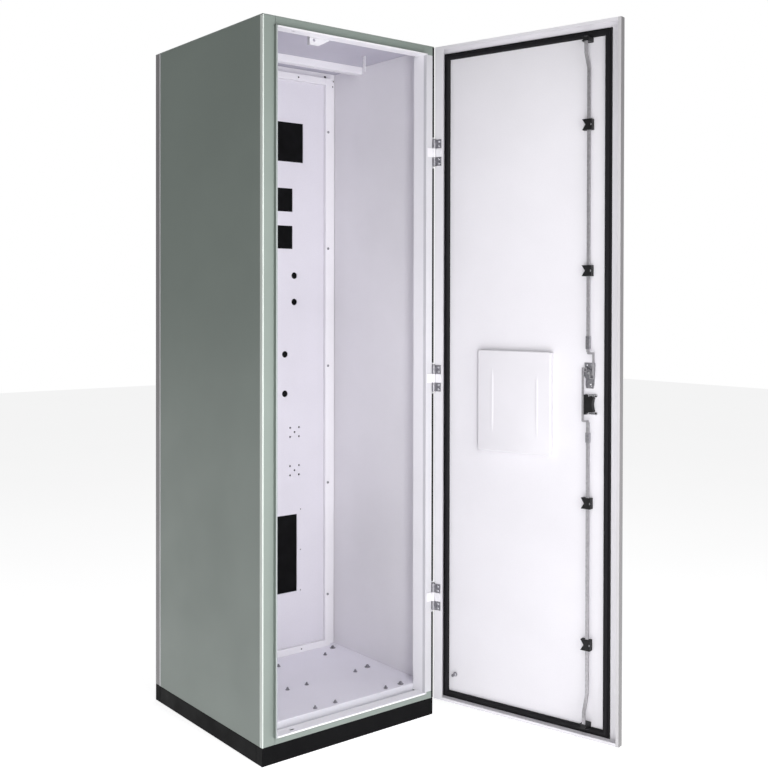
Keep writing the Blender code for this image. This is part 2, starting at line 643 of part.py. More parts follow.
def make_spindle():
    """Spindle with a square head for the lever outside and a reduced end for the cam inside."""
    head_half = 0.0075
    shoulder = ON_PANEL_Y + 0.004
    spindle = cylinder("handle_spindle", (ROD_X, SPINDLE_Z), 0.006, "Y", BASE_FRONT_Y - 0.0013,
                       shoulder, "zinc_steel", "handle")
    head = block("spindle_head", (ROD_X - head_half, LEVER_PIVOT_Y - 0.006, SPINDLE_Z - head_half),
                 (ROD_X + head_half, BASE_FRONT_Y - 0.0005, SPINDLE_Z + head_half), None, "handle")
    nose = cylinder("spindle_nose", (ROD_X, SPINDLE_Z), 0.004, "Y", shoulder - 0.002,
                    shoulder + 0.0035, None, "handle")
    join(spindle, head, nose)
    cut(spindle, prism("spindle_bore", circle((LEVER_PIVOT_Y, SPINDLE_Z), 0.0023), "X",
                       ROD_X - 0.009, ROD_X + 0.009, None, "handle"))
    cylinder("lever_pin", (LEVER_PIVOT_Y, SPINDLE_Z), 0.002, "X", ROD_X - 0.0145, ROD_X + 0.0145,
             "zinc_steel", "handle")
    cam_low = shoulder + GAP
    cam_high = cam_low + 0.003
    reach = CRANK_RADIUS + 0.0055
    waist = 0.011
    bend = math.degrees(math.acos((reach - 0.0055) / reach))
    outline = (arc((ROD_X + CRANK_RADIUS, SPINDLE_Z), 0.0055, -90, 90, 10)
               + arc((ROD_X, SPINDLE_Z), waist, 90 - bend, 90 + bend, 8)
               + arc((ROD_X - CRANK_RADIUS, SPINDLE_Z), 0.0055, 90, 270, 10)
               + arc((ROD_X, SPINDLE_Z), waist, 270 - bend, 270 + bend, 8))
    cam = prism("lock_cam", turned(outline), "Y", cam_low, cam_high, "zinc_steel", "handle")
    cut(cam, round_hole("cam_hole", SPINDLE_Z, 0.0043, cam_low - 0.001, cam_high + 0.001, "handle"))
    pin_end = ROD_Y + 0.0035
    pins = turned([(ROD_X - CRANK_RADIUS, SPINDLE_Z), (ROD_X + CRANK_RADIUS, SPINDLE_Z)])
    for mark, centre in zip(("left", "right"), pins):
        join(cam, cylinder("crank_pin_" + mark, centre, CRANK_PIN_RADIUS, "Y", cam_high - 0.001,
                           pin_end, None, "handle"))


def make_lever():
    pivot = (LEVER_PIVOT_Y, SPINDLE_Z)
    end = SPINDLE_Z - LEVER_LENGTH
    half = LEVER_HALF_THICKNESS
    outline = arc(pivot, half, 0, 180, 12) + arc((LEVER_PIVOT_Y, end + half), half, 180, 360, 12)
    lever = prism("handle_lever", outline, "X", ROD_X - LEVER_HALF_WIDTH, ROD_X + LEVER_HALF_WIDTH,
                  "black_plastic", "lever")
    low, high = LEVER_PIVOT_Y - half - 0.001, LEVER_PIVOT_Y + half + 0.001
    slot = block("lever_slot", (ROD_X - 0.008, low, SPINDLE_Z - 0.015),
                 (ROD_X + 0.008, high, SPINDLE_Z + 0.010), None, "lever")
    bore = prism("lever_bore", circle(pivot, 0.0023), "X", ROD_X - 0.016, ROD_X + 0.016, None, "lever")
    cut(lever, slot, bore, round_hole("lever_key_hole", CYLINDER_Z, 0.0095, low, high, "lever"))
    front = LEVER_PIVOT_Y - half
    hub = (ROD_X, JOINTS["key_cover"][2])
    outline = arc((ROD_X, CYLINDER_Z), 0.011, 180, 360, 16) + arc(hub, 0.0045, 0, 180, 10)
    prism("key_cover", outline, "Y", front - 0.0023, front - GAP, "black_plastic", "key_cover")


def make_key_cylinder():
    barrel = cylinder("key_cylinder", (ROD_X, CYLINDER_Z), 0.008, "Y", BASE_FRONT_Y + GAP,
                      ON_PANEL_Y + 0.0125, "zinc_steel", "key")
    cut(barrel, block("key_slot", (ROD_X - 0.001, BASE_FRONT_Y - 0.001, CYLINDER_Z - 0.005),
                      (ROD_X + 0.001, BASE_FRONT_Y + 0.004, CYLINDER_Z + 0.005), None, "key"))


def yoke(name, side, joint, height):
    """Slotted plate that a crank pin drives up and down while it slides sideways in the slot."""
    centre = ROD_X + side * CRANK_RADIUS
    slack = CRANK_PIN_RADIUS + YOKE_SLACK
    inward = CRANK_RADIUS * (1 - math.cos(HANDLE_SWING / 2))
    xs = sorted((centre + side * (slack + 0.003), centre - side * (slack + inward + 0.0012)))
    low, high = ROD_Y - YOKE_THICKNESS / 2, ROD_Y + YOKE_THICKNESS / 2
    tall = slack + 0.003
    plate = block(name, (xs[0], low, height - tall), (xs[1], high, height + tall), None, joint)
    slot_xs = sorted((centre + side * slack, centre - side * (slack + inward)))
    slot = block(name + "_slot", (slot_xs[0], low - 0.002, height - slack),
                 (slot_xs[1], high + 0.002, height + slack), None, joint)
    return plate, slot


def rod_outline(near, jog, end_start, tip):
    """Side view of a rod: straight, then cranked towards the cabinet near its tip."""
    half = ROD_THICKNESS / 2
    return [(ROD_Y - half, near), (ROD_Y + half, near), (ROD_Y + half, jog),
            (ROD_END_Y + half, end_start), (ROD_END_Y + half, tip), (ROD_END_Y - half, tip),
            (ROD_END_Y - half, end_start), (ROD_Y - half, jog)]


def make_rod(name, side, near, jog, end_start, tip):
    half = ROD_WIDTH / 2
    height = JOINTS[name][2]
    rod = prism(name, rod_outline(near, jog, end_start, tip), "X", ROD_X - half, ROD_X + half,
                "zinc_steel", name)
    plate, slot = yoke(name + "_yoke", side, name, height)
    outer = ROD_X + side * (CRANK_RADIUS + CRANK_PIN_RADIUS + 0.0036)
    inner = outer - side * 0.006
    low, high = ROD_Y - YOKE_THICKNESS / 2, ROD_Y + YOKE_THICKNESS / 2
    along = math.copysign(1.0, tip - near)
    far_side, near_side = ROD_X + side * 0.003, ROD_X - side * 0.003
    into_rod, shoulder, elbow = near + along * 0.010, near - along * 0.0005, near - along * 0.0060
    crank = [(outer, height), (outer, shoulder - along * 0.002), (outer - side * 0.002, shoulder),
             (far_side, shoulder), (far_side, into_rod), (near_side, into_rod),
             (near_side, elbow + along * 0.002), (near_side + side * 0.002, elbow), (inner, elbow),
             (inner, height)]
    strap = prism(name + "_strap", crank, "Y", low, high, None, name)
    join(rod, strap, plate)
    cut(rod, slot)


def make_rods():
    make_rod("upper_rod", -1, 1.1205, 1.892, 1.930, ROD_TOP)
    make_rod("lower_rod", 1, 0.893, 0.150, 0.106, ROD_BOTTOM)


# ---- assembly -----------------------------------------------------------------------------------
for leftover in list(bpy.data.objects):
    bpy.data.objects.remove(leftover, do_unlink=True)
PAINT = make_materials()
EMPTIES = joint_empties()

make_plinth()
make_front_frame()
make_walls()
make_rear()
make_floor()
make_instrument_panel()
make_panel_rails()
make_roof_fittings()
make_hinges()
make_door_shell()
make_gasket()
make_document_pocket()
make_rod_guides()
make_ground_stud()
make_lock_fittings()
make_spindle()
make_lever()
make_key_cylinder()
make_rods()
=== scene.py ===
"""Looks of a floor-standing battery cabinet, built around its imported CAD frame.

Metres, +Z up; the front faces -Y. Everything on the door is drawn where it sits with the door shut,
the way a draughtsman would draw it, and then swung open with the door.
"""

import json
import math

import bmesh
import bpy
from mathutils import Matrix, Vector


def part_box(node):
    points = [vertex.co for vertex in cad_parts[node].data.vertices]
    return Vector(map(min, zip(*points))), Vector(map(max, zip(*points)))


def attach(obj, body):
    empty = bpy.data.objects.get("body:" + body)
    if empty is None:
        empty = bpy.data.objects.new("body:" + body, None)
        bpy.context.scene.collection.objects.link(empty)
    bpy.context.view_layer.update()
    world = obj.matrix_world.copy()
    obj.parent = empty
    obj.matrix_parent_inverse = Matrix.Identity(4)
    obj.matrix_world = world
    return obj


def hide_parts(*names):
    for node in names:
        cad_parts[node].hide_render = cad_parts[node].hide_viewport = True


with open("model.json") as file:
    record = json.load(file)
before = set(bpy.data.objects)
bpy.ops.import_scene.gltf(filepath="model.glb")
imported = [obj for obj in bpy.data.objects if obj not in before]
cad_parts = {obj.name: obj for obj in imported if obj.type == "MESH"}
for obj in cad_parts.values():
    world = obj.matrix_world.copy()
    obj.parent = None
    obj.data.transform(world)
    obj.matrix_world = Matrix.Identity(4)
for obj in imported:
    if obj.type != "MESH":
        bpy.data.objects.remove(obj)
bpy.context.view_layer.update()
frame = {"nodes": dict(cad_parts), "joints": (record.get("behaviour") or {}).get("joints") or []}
NODES = frame["nodes"]
JOINTS = {joint["name"]: joint for joint in frame["joints"]}
COLOUR_A, COLOUR_B, COLOUR_RESULT = 6, 7, 2
AXES = {"X": (1, 2, 0), "Y": (0, 2, 1), "Z": (0, 1, 2)}
MILLIMETRE = 0.001
GAP = 0.3 * MILLIMETRE
PAINT_SKIN = 0.5 * MILLIMETRE
LIP_THICKNESS = 5 * MILLIMETRE


# ---- placing: from the door drawn shut to the door as it stands -----------------------------------
def turn_about(point, axis, angle):
    return Matrix.Translation(point) @ Matrix.Rotation(angle, 4, axis) @ Matrix.Translation(-point)


OPEN_ANGLE = -math.radians(JOINTS["door_hinge"]["range_deg"][0])
HINGE = Vector(JOINTS["door_hinge"]["pos_m"])
SHUT_TO_OPEN = turn_about(HINGE, Vector((0, 0, 1)), OPEN_ANGLE)
AS_DRAWN = Matrix.Identity(4)


def shut_box(node):
    """Lowest and highest corner of a node on the door, with the door shut."""
    back = SHUT_TO_OPEN.inverted()
    places = [back @ vertex.co for vertex in NODES[node].data.vertices]
    low = Vector([min(place[i] for place in places) for i in range(3)])
    high = Vector([max(place[i] for place in places) for i in range(3)])
    return low, high


DOOR_LOW, DOOR_HIGH = shut_box("door_shell")
SHEET = 2 * MILLIMETRE
SPINDLE = SHUT_TO_OPEN.inverted() @ Vector(JOINTS["handle_turn"]["pos_m"])
CYLINDER = SHUT_TO_OPEN.inverted() @ Vector(JOINTS["key_turn"]["pos_m"])
ROD_X = SPINDLE.x


# ---- outlines -------------------------------------------------------------------------------------
def arc(centre, radius, start, end, steps):
    """Points along an arc, in degrees, both ends included."""
    points = []
    for step in range(steps + 1):
        angle = math.radians(start + (end - start) * step / steps)
        points.append((centre[0] + radius * math.cos(angle), centre[1] + radius * math.sin(angle)))
    return points


def circle(centre, radius, steps=32):
    return arc(centre, radius, 0, 360, steps)[:-1]


def rectangle(low, high):
    return [(low[0], low[1]), (high[0], low[1]), (high[0], high[1]), (low[0], high[1])]


def rounded(low, high, radius, steps=6):
    """Rectangle with round corners."""
    corners = [((high[0] - radius, high[1] - radius), 0), ((low[0] + radius, high[1] - radius), 90),
               ((low[0] + radius, low[1] + radius), 180), ((high[0] - radius, low[1] + radius), 270)]
    points = []
    for centre, start in corners:
        points += arc(centre, radius, start, start + 90, steps)
    return points


# ---- solids ---------------------------------------------------------------------------------------
def prism(outline, axis, low, high, shape=None):
    """Extrude a flat outline along an axis. The outline's pairs are the other two axes, in order."""
    first, second, along = AXES[axis]
    shape = shape or bmesh.new()
    rings = []
    for level in (low, high):
        ring = []
        for pair in outline:
            place = [0.0, 0.0, 0.0]
            place[first], place[second], place[along] = pair[0], pair[1], level
            ring.append(shape.verts.new(place))
        rings.append(ring)
    shape.faces.new(rings[0])
    shape.faces.new(rings[1])
    count = len(outline)
    for i in range(count):
        after = (i + 1) % count
        shape.faces.new((rings[0][i], rings[0][after], rings[1][after], rings[1][i]))
    return shape


def block(low, high, shape=None):
    return prism(rectangle(low[:2], high[:2]), "Z", low[2], high[2], shape)


def facing(normal):
    """Rotation that takes +Z to the normal."""
    return Vector((0, 0, 1)).rotation_difference(Vector(normal)).to_matrix().to_4x4()


def turned(profile, centre, normal, steps=24, shape=None):
    """Spin a profile of (radius, height) pairs round the normal; both its ends are closed."""
    shape = shape or bmesh.new()
    place = Matrix.Translation(centre) @ facing(normal)
    rings = []
    for radius, height in profile:
        rings.append([shape.verts.new(place @ Vector((x, y, height)))
                      for x, y in circle((0, 0), radius, steps)])
    shape.faces.new(rings[0])
    shape.faces.new(rings[-1])
    for lower, upper in zip(rings, rings[1:]):
        for i in range(steps):
            after = (i + 1) % steps
            shape.faces.new((lower[i], lower[after], upper[after], upper[i]))
    return shape


def washer(centre, normal, inner, outer, thickness, shape):
    """Flat ring with slightly eased edges."""
    ease = thickness / 4
    profile = [(inner, 0), (outer, 0), (outer, thickness - ease), (outer - ease, thickness),
               (inner + ease, thickness), (inner, thickness - ease)]
    place = Matrix.Translation(centre) @ facing(normal)
    steps = 24
    rings = []
    for radius, height in profile:
        rings.append([shape.verts.new(place @ Vector((x, y, height)))
                      for x, y in circle((0, 0), radius, steps)])
    for lower, upper in zip(rings, rings[1:] + rings[:1]):
        for i in range(steps):
            after = (i + 1) % steps
            shape.faces.new((lower[i], lower[after], upper[after], upper[i]))
    return shape


def cross_screw(centre, normal, radius, height, shape):
    """Pan head with a cross-shaped recess."""
    place = Matrix.Translation(centre) @ facing(normal)
    steps = 24
    floor = height * 0.35
    levels = [(radius, 0), (radius, height * 0.45), (radius * 0.86, height * 0.82),
              (radius * 0.60, height), (radius * 0.52, height), (radius * 0.20, floor)]
    rings = []
    for number, (size, level) in enumerate(levels):
        ring = []
        for i, (x, y) in enumerate(circle((0, 0), size, steps)):
            in_arm = i % 6 in (0, 1, 5)
            drop = floor if number == 4 and in_arm else level
            ring.append(shape.verts.new(place @ Vector((x, y, drop))))
        rings.append(ring)
    shape.faces.new(rings[0])
    shape.faces.new(rings[-1])
    for lower, upper in zip(rings, rings[1:]):
        for i in range(steps):
            after = (i + 1) % steps
            shape.faces.new((lower[i], lower[after], upper[after], upper[i]))
    return shape


def hex_bolt(centre, across, height, shape):
    """Hexagon head on a washer, standing up from a floor."""
    thickness = 1.2 * MILLIMETRE
    washer(centre, (0, 0, 1), across * 0.28, across * 0.92, thickness, shape)
    seat = Vector(centre) + Vector((0, 0, thickness))
    corner = across / math.sqrt(3)
    turned([(corner, 0), (corner, height * 0.72), (corner * 0.86, height)], seat, (0, 0, 1), 6, shape)
    top = seat + Vector((0, 0, height * 0.98))
    turned([(across * 0.30, 0), (across * 0.30, height * 0.35), (across * 0.24, height * 0.45)],
           top, (0, 0, 1), 20, shape)
    return shape


def temporary(shape):
    mesh = bpy.data.meshes.new("temporary")
    bmesh.ops.recalc_face_normals(shape, faces=shape.faces)
    shape.to_mesh(mesh)
    shape.free()
    made = bpy.data.objects.new("temporary", mesh)
    bpy.context.scene.collection.objects.link(made)
    return made


def carved(solid, *cutters):
    """The solid with every cutter taken out of it."""
    target = temporary(solid)
    tools = [temporary(cutter) for cutter in cutters]
    for tool in tools:
        change = target.modifiers.new("carve", "BOOLEAN")
        change.operation = "DIFFERENCE"
        change.solver = "EXACT"
        change.object = tool
    result = bmesh.new()
    result.from_object(target, bpy.context.evaluated_depsgraph_get())
    for made in [target, *tools]:
        mesh = made.data
        bpy.data.objects.remove(made)
        bpy.data.meshes.remove(mesh)
    return result


# ---- pieces ---------------------------------------------------------------------------------------
def soften(made, width, segments=3, angle=30):
    """Round every real edge of an object, and keep its flat faces flat."""
    bevel = made.modifiers.new("edges", "BEVEL")
    bevel.width = width
    bevel.segments = segments
    bevel.limit_method = "ANGLE"
    bevel.angle_limit = math.radians(angle)
    bevel.miter_outer = "MITER_ARC"
    bevel.use_clamp_overlap = True
    weighted = made.modifiers.new("flats", "WEIGHTED_NORMAL")
    weighted.keep_sharp = False
    weighted.weight = 100


def piece(name, shape, finish, body, edge=0.0, placing=AS_DRAWN, instead_of=()):
    """Put a shape in the scene as a piece that rides on a body."""
    bmesh.ops.recalc_face_normals(shape, faces=shape.faces)
    mesh = bpy.data.meshes.new(name)
    shape.to_mesh(mesh)
    shape.free()
    mesh.shade_smooth()
    made = bpy.data.objects.new(name, mesh)
    bpy.context.scene.collection.objects.link(made)
    made.matrix_world = placing
    mesh.materials.append(finish)
    if edge:
        soften(made, edge)
    else:
        mesh.set_sharp_from_angle(angle=math.radians(35))
    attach(made, body)
    if instead_of:
        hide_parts(*instead_of)
    return made


def dress(names, finish, edge=None):
    """Give CAD nodes their finish and, if wanted, eased edges."""
    for name in names:
        node = NODES[name]
        for slot in node.material_slots:
            slot.material = finish
        if edge is None:
            continue
        weld = node.modifiers.new("weld", "WELD")
        weld.merge_threshold = 0.01 * MILLIMETRE
        flat = node.modifiers.new("flat", "DECIMATE")
        flat.decimate_type = "DISSOLVE"
        flat.angle_limit = math.radians(1)
        soften(node, edge)


# ---- material graphs ------------------------------------------------------------------------------
def display(red, green, blue):
    """Linear colour from a display colour of 0 to 255."""
    return tuple(((value / 255 + 0.055) / 1.055) ** 2.4 for value in (red, green, blue)) + (1.0,)


class Graph:
    """A material's nodes, with the object's own coordinates in metres as the texture space."""

    def __init__(self, name, placing=None):
        self.material = bpy.data.materials.new(name)
        self.material.use_nodes = True
        self.tree = self.material.node_tree
        self.shader = self.tree.nodes["Principled BSDF"]
        self.place = self.add("ShaderNodeTexCoord").outputs["Object"]
        if placing:
            back = placing.inverted()
            mapping = self.add("ShaderNodeMapping")
            mapping.inputs["Rotation"].default_value = back.to_euler()
            mapping.inputs["Location"].default_value = back.translation
            self.tree.links.new(self.place, mapping.inputs["Vector"])
            self.place = mapping.outputs["Vector"]
        self.parts = self.add("ShaderNodeSeparateXYZ")
        self.tree.links.new(self.place, self.parts.inputs["Vector"])

    def add(self, kind, **settings):
        node = self.tree.nodes.new(kind)
        for key, value in settings.items():
            setattr(node, key, value)
        return node

    def feed(self, socket, value):
        """Link an output, or set a plain value."""
        if isinstance(value, bpy.types.NodeSocket):
            self.tree.links.new(value, socket)
        else:
            socket.default_value = value

    def maths(self, operation, *values):
        node = self.add("ShaderNodeMath", operation=operation)
        for socket, value in zip(node.inputs, values):
            self.feed(socket, value)
        return node.outputs["Value"]

    def stretched(self, scale):
        node = self.add("ShaderNodeMapping")
        node.inputs["Scale"].default_value = scale
        self.feed(node.inputs["Vector"], self.place)
        return node.outputs["Vector"]

    def noise(self, scale, detail=2.0, vector=None):
        node = self.add("ShaderNodeTexNoise")
        node.inputs["Scale"].default_value = scale
        node.inputs["Detail"].default_value = detail
        self.feed(node.inputs["Vector"], vector or self.place)
        return node.outputs["Fac"]

    def cells(self, scale, output="Distance"):
        node = self.add("ShaderNodeTexVoronoi")
        node.inputs["Scale"].default_value = scale
        self.feed(node.inputs["Vector"], self.place)
        return node.outputs[output]

    def spread(self, value, low, high, start=0.3, end=0.7):
        """Take a value from the range start..end to low..high."""
        node = self.add("ShaderNodeMapRange")
        for socket, number in zip(("From Min", "From Max", "To Min", "To Max"), (start, end, low, high)):
            node.inputs[socket].default_value = number
        self.feed(node.inputs["Value"], value)
        return node.outputs["Result"]

    def mix(self, factor, first, second, blend="MIX"):
        node = self.add("ShaderNodeMix", data_type="RGBA", blend_type=blend)
        self.feed(node.inputs["Factor"], factor)
        self.feed(node.inputs[COLOUR_A], first)
        self.feed(node.inputs[COLOUR_B], second)
        return node.outputs[COLOUR_RESULT]

    def bump(self, height, strength, distance, under=None):
        node = self.add("ShaderNodeBump")
        node.inputs["Strength"].default_value = strength
        node.inputs["Distance"].default_value = distance
        self.feed(node.inputs["Height"], height)
        if under:
            self.feed(node.inputs["Normal"], under)
        return node.outputs["Normal"]

    def finish(self, colour, roughness, normal, metallic=0.0):
        self.feed(self.shader.inputs["Base Color"], colour)
        self.feed(self.shader.inputs["Roughness"], roughness)
        self.feed(self.shader.inputs["Normal"], normal)
        self.shader.inputs["Metallic"].default_value = metallic
        return self.material


# ---- finishes -------------------------------------------------------------------------------------
GREEN_GREY = display(140, 150, 144)
# painted highlight: lighter green for the bright line down the cabinet's front-left corner
PAINTED_HIGHLIGHT_GREEN = display(224, 231, 226)
LIP_GREY = display(168, 174, 174)
COVER_GREY = display(150, 148, 150)
# painted shade: grey for the door's free edge face, which is in shade
EDGE_SHADE_GREY = display(160, 158, 160)
# painted shade: darker white for the door's free-side return flange
FOLD_SHADE_GREY = display(204, 202, 205)
WHITE = display(236, 234, 239)
# painted light: a brighter copy of the white paint for the bottom rail and hinge post, which catch more light
LIT_WHITE = display(249, 248, 252)
# painted shade: a darker copy of the white paint for the hinge post's lip and the roof bracket
SHADED_WHITE = display(210, 209, 214)
DOOR_WHITE = display(228, 226, 231)
FLOOR_WHITE = display(242, 240, 249)
PANEL_WHITE = display(221, 218, 227)
# painted shade: the white paint darkened for the roof's underside
SHADED_ROOF_WHITE = display(184, 181, 195)


def outside_of(tests, join="MAXIMUM"):
    """Mask that is 1 where any of the tests holds: (axis letter, limit, side). MINIMUM asks for all."""
    def mask(graph):
        found = None
        for axis, limit, side in tests:
            value = graph.parts.outputs[axis]
            one = graph.maths("GREATER_THAN", value, limit) if side > 0 else \
                graph.maths("LESS_THAN", value, limit)
            found = one if found is None else graph.maths(join, found, one)
        return found
    return mask


def powder_coat(name, tone, others=(), placing=None):
    """Satin powder coat: fine orange peel, faint clouds of tone and of gloss.

    Each of the others is a tone with the mask that says where it covers what is under it.
    """
    graph = Graph(name, placing)
    colour = tone
    for other, mask in others:
        colour = graph.mix(mask(graph), colour, other)
    clouds = graph.spread(graph.noise(2.2, 4), 0.95, 1.05)
    specks = graph.spread(graph.noise(900, 1), 0.975, 1.025)
    colour = graph.mix(1.0, colour, graph.maths("MULTIPLY", clouds, specks), "MULTIPLY")
    peel = graph.bump(graph.noise(620, 2), 0.10, 0.4 * MILLIMETRE)
    grain = graph.bump(graph.noise(2400, 1), 0.06, 0.1 * MILLIMETRE, peel)
    gloss = graph.spread(graph.noise(7, 4), 0.34, 0.46)
    return graph.finish(colour, gloss, grain)


def plinth_coat():
    """Black textured coat, rubbed a little near the floor."""
    graph = Graph("plinth_coat")
    scuffs = graph.spread(graph.noise(90, 6, graph.stretched((1, 1, 6))), 0, 1, 0.60, 0.72)
    low_down = graph.spread(graph.parts.outputs["Z"], 1, 0, 0.0, 0.03)
    rubbed = graph.maths("MULTIPLY", scuffs, low_down)
    colour = graph.mix(rubbed, display(9, 9, 11), display(32, 31, 32))
    texture = graph.bump(graph.noise(1100, 3), 0.22, 0.4 * MILLIMETRE)
    gloss = graph.spread(graph.noise(14, 4), 0.44, 0.60)
    graph.shader.inputs["Specular IOR Level"].default_value = 0.08
    return graph.finish(colour, gloss, texture)


def zinc_plate(name, dark, light, rough, metal=1.0):
    """Bright zinc plating: faint crystal patches, drawing lines along the part."""
    graph = Graph(name)
    patches = graph.spread(graph.noise(160, 5), 0, 1)
    lines = graph.noise(500, 3, graph.stretched((1, 1, 0.06)))
    colour = graph.mix(graph.maths("MULTIPLY", patches, graph.spread(lines, 0.7, 1)), dark, light)
    surface = graph.bump(lines, 0.06, 0.05 * MILLIMETRE)
    gloss = graph.spread(graph.noise(240, 4), rough - 0.06, rough + 0.08)
    return graph.finish(colour, gloss, surface, metal)


def black_moulding():
    """Black moulded plastic with a fine spark-eroded grain."""
    graph = Graph("black_moulding")
    colour = graph.mix(graph.spread(graph.noise(60, 4), 0, 1), display(11, 11, 12), display(22, 21, 23))
    grain = graph.bump(graph.noise(2600, 2), 0.25, 0.15 * MILLIMETRE)
    graph.shader.inputs["Specular IOR Level"].default_value = 0.3
    gloss = graph.spread(graph.noise(300, 3), 0.42, 0.56)
    return graph.finish(colour, gloss, grain)


def sealing_foam():
    """Poured foam seal: matt skin with tiny closed pores."""
    graph = Graph("sealing_foam")
    pores = graph.spread(graph.cells(900), 0, 1, 0.05, 0.45)
    colour = graph.mix(pores, display(12, 12, 13), display(29, 28, 31))
    skin = graph.bump(pores, 0.35, 0.2 * MILLIMETRE, graph.bump(graph.noise(120, 4), 0.3, 0.3 * MILLIMETRE))
    graph.shader.inputs["Specular IOR Level"].default_value = 0.15
    return graph.finish(colour, graph.spread(graph.noise(200, 3), 0.55, 0.75), skin)


def pocket_plastic():
    """White moulded polystyrene, a little glossier than the paint behind it."""
    graph = Graph("pocket_plastic")
    colour = graph.mix(graph.spread(graph.noise(9, 3), 0, 1), display(221, 219, 224), display(225, 223, 228))
    sheen = graph.bump(graph.noise(420, 2), 0.06, 0.2 * MILLIMETRE)
    return graph.finish(colour, graph.spread(graph.noise(16, 3), 0.42, 0.50), sheen)


def lining_board():
    """Dull black board behind the cut-outs."""
    graph = Graph("lining_board")
    colour = graph.mix(graph.spread(graph.noise(40, 5), 0, 1), display(7, 7, 8), display(13, 13, 15))
    fibre = graph.bump(graph.noise(1400, 3), 0.3, 0.3 * MILLIMETRE)
    graph.shader.inputs["Specular IOR Level"].default_value = 0.1
    return graph.finish(colour, graph.spread(graph.noise(30, 3), 0.7, 0.85), fibre)


# ---- CAD nodes that stay --------------------------------------------------------------------------
def dress_cabinet():
    """Green-grey outside and white inside, with the change of tone where the parts fold inwards, plus painted
    light: a highlight down the front-left corner and lighter and darker copies of the white where light and shade
    fall.
    """
    half = CABINET_HALF_WIDTH
    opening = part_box("front_post_left")[1].x
    above = ("Z", OPENING_HIGH + LIP_THICKNESS - PAINT_SKIN, 1)
    below = ("Z", OPENING_LOW - LIP_THICKNESS + PAINT_SKIN, -1)
    beyond = [above, below]
    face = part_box("front_top_rail")[0].y + LIP_REACH
    post_face = [(LIP_GREY, outside_of([("Y", face + PAINT_SKIN, -1)])),
                 (GREEN_GREY, outside_of([("X", opening - LIP_THICKNESS + PAINT_SKIN, -1), *beyond])),
                 # painted highlight down the post's outer corner
                 (PAINTED_HIGHLIGHT_GREEN, outside_of([("X", -half + 3.5 * MILLIMETRE, -1)]))]
    dress(["front_post_left"], powder_coat("left_post_coat", WHITE, post_face), 1.2 * MILLIMETRE)
    top_face = [(GREEN_GREY, outside_of([above]))]
    dress(["front_top_rail"], powder_coat("top_rail_coat", WHITE, top_face), 0.9 * MILLIMETRE)
    bottom_face = [(GREEN_GREY, outside_of([below]))]
    # bottom rail in the brighter, lit copy of the white: painted light
    dress(["front_bottom_rail"], powder_coat("bottom_rail_coat", LIT_WHITE, bottom_face),
          0.9 * MILLIMETRE)
    # painted shade on the hinge post's lip
    right_face = [(SHADED_WHITE, outside_of([("Y", face + PAINT_SKIN, -1)])), (GREEN_GREY, outside_of(beyond))]
    # hinge post in the brighter, lit copy of the white: painted light
    dress(["front_post_right"], powder_coat("right_post_coat", LIT_WHITE, right_face), 0.9 * MILLIMETRE)
    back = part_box("side_wall_left")[1].y
    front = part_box("side_wall_left")[0].y
    corner = [("X", -half + PAINT_SKIN, -1), ("Y", front + 10 * MILLIMETRE, -1)]
    walls = [(GREEN_GREY, outside_of([("X", half - PAINT_SKIN, 1), ("X", -half + PAINT_SKIN, -1)])),
             # painted highlight down the wall's front corner
             (PAINTED_HIGHLIGHT_GREEN, outside_of(corner, "MINIMUM")),
             # white band at the walls' back edge, partly a painted highlight along the seam with the rear cover
             (WHITE, outside_of([("Y", back - 6 * MILLIMETRE, 1)]))]
    dress(["side_wall_left", "side_wall_right"], powder_coat("wall_coat", WHITE, walls), 0.5 * MILLIMETRE)
    low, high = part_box("roof_panel")
    roof = [(GREEN_GREY, outside_of([("Z", high.z - PAINT_SKIN, 1), ("Y", low.y + PAINT_SKIN, -1),
                                     ("X", half - PAINT_SKIN, 1), ("X", -half + PAINT_SKIN, -1)]))]
    # roof underside in the darkened white: painted shade
    dress(["roof_panel"], powder_coat("roof_coat", SHADED_ROOF_WHITE, roof), 0.6 * MILLIMETRE)
    dress(["rear_cover"], powder_coat("rear_cover_coat", COVER_GREY), 1.5 * MILLIMETRE)
    dress(["floor_plate"], powder_coat("floor_coat", FLOOR_WHITE), 0.7 * MILLIMETRE)
    inside = ["panel_rail_left", "panel_rail_right", "panel_rail_top", "panel_rail_bottom",
              "rear_post_left", "rear_post_right", "rear_top_rail", "rear_bottom_rail", "roof_stiffener",
              "hinge_leaf_top", "hinge_leaf_middle", "hinge_leaf_bottom"]
    dress(inside, INNER_COAT, 0.7 * MILLIMETRE)
    # roof bracket in the darker, shaded copy of the white: painted shade
    dress(["roof_bracket"], powder_coat("bracket_coat", SHADED_WHITE), 0.4 * MILLIMETRE)
    dress(["cable_tab"], INNER_COAT, 0.4 * MILLIMETRE)
    dress(["instrument_panel"], powder_coat("panel_coat", PANEL_WHITE))
    dress(["plinth_front_rail", "plinth_rear_rail", "plinth_left_rail", "plinth_right_rail"],
          plinth_coat(), 0.9 * MILLIMETRE)


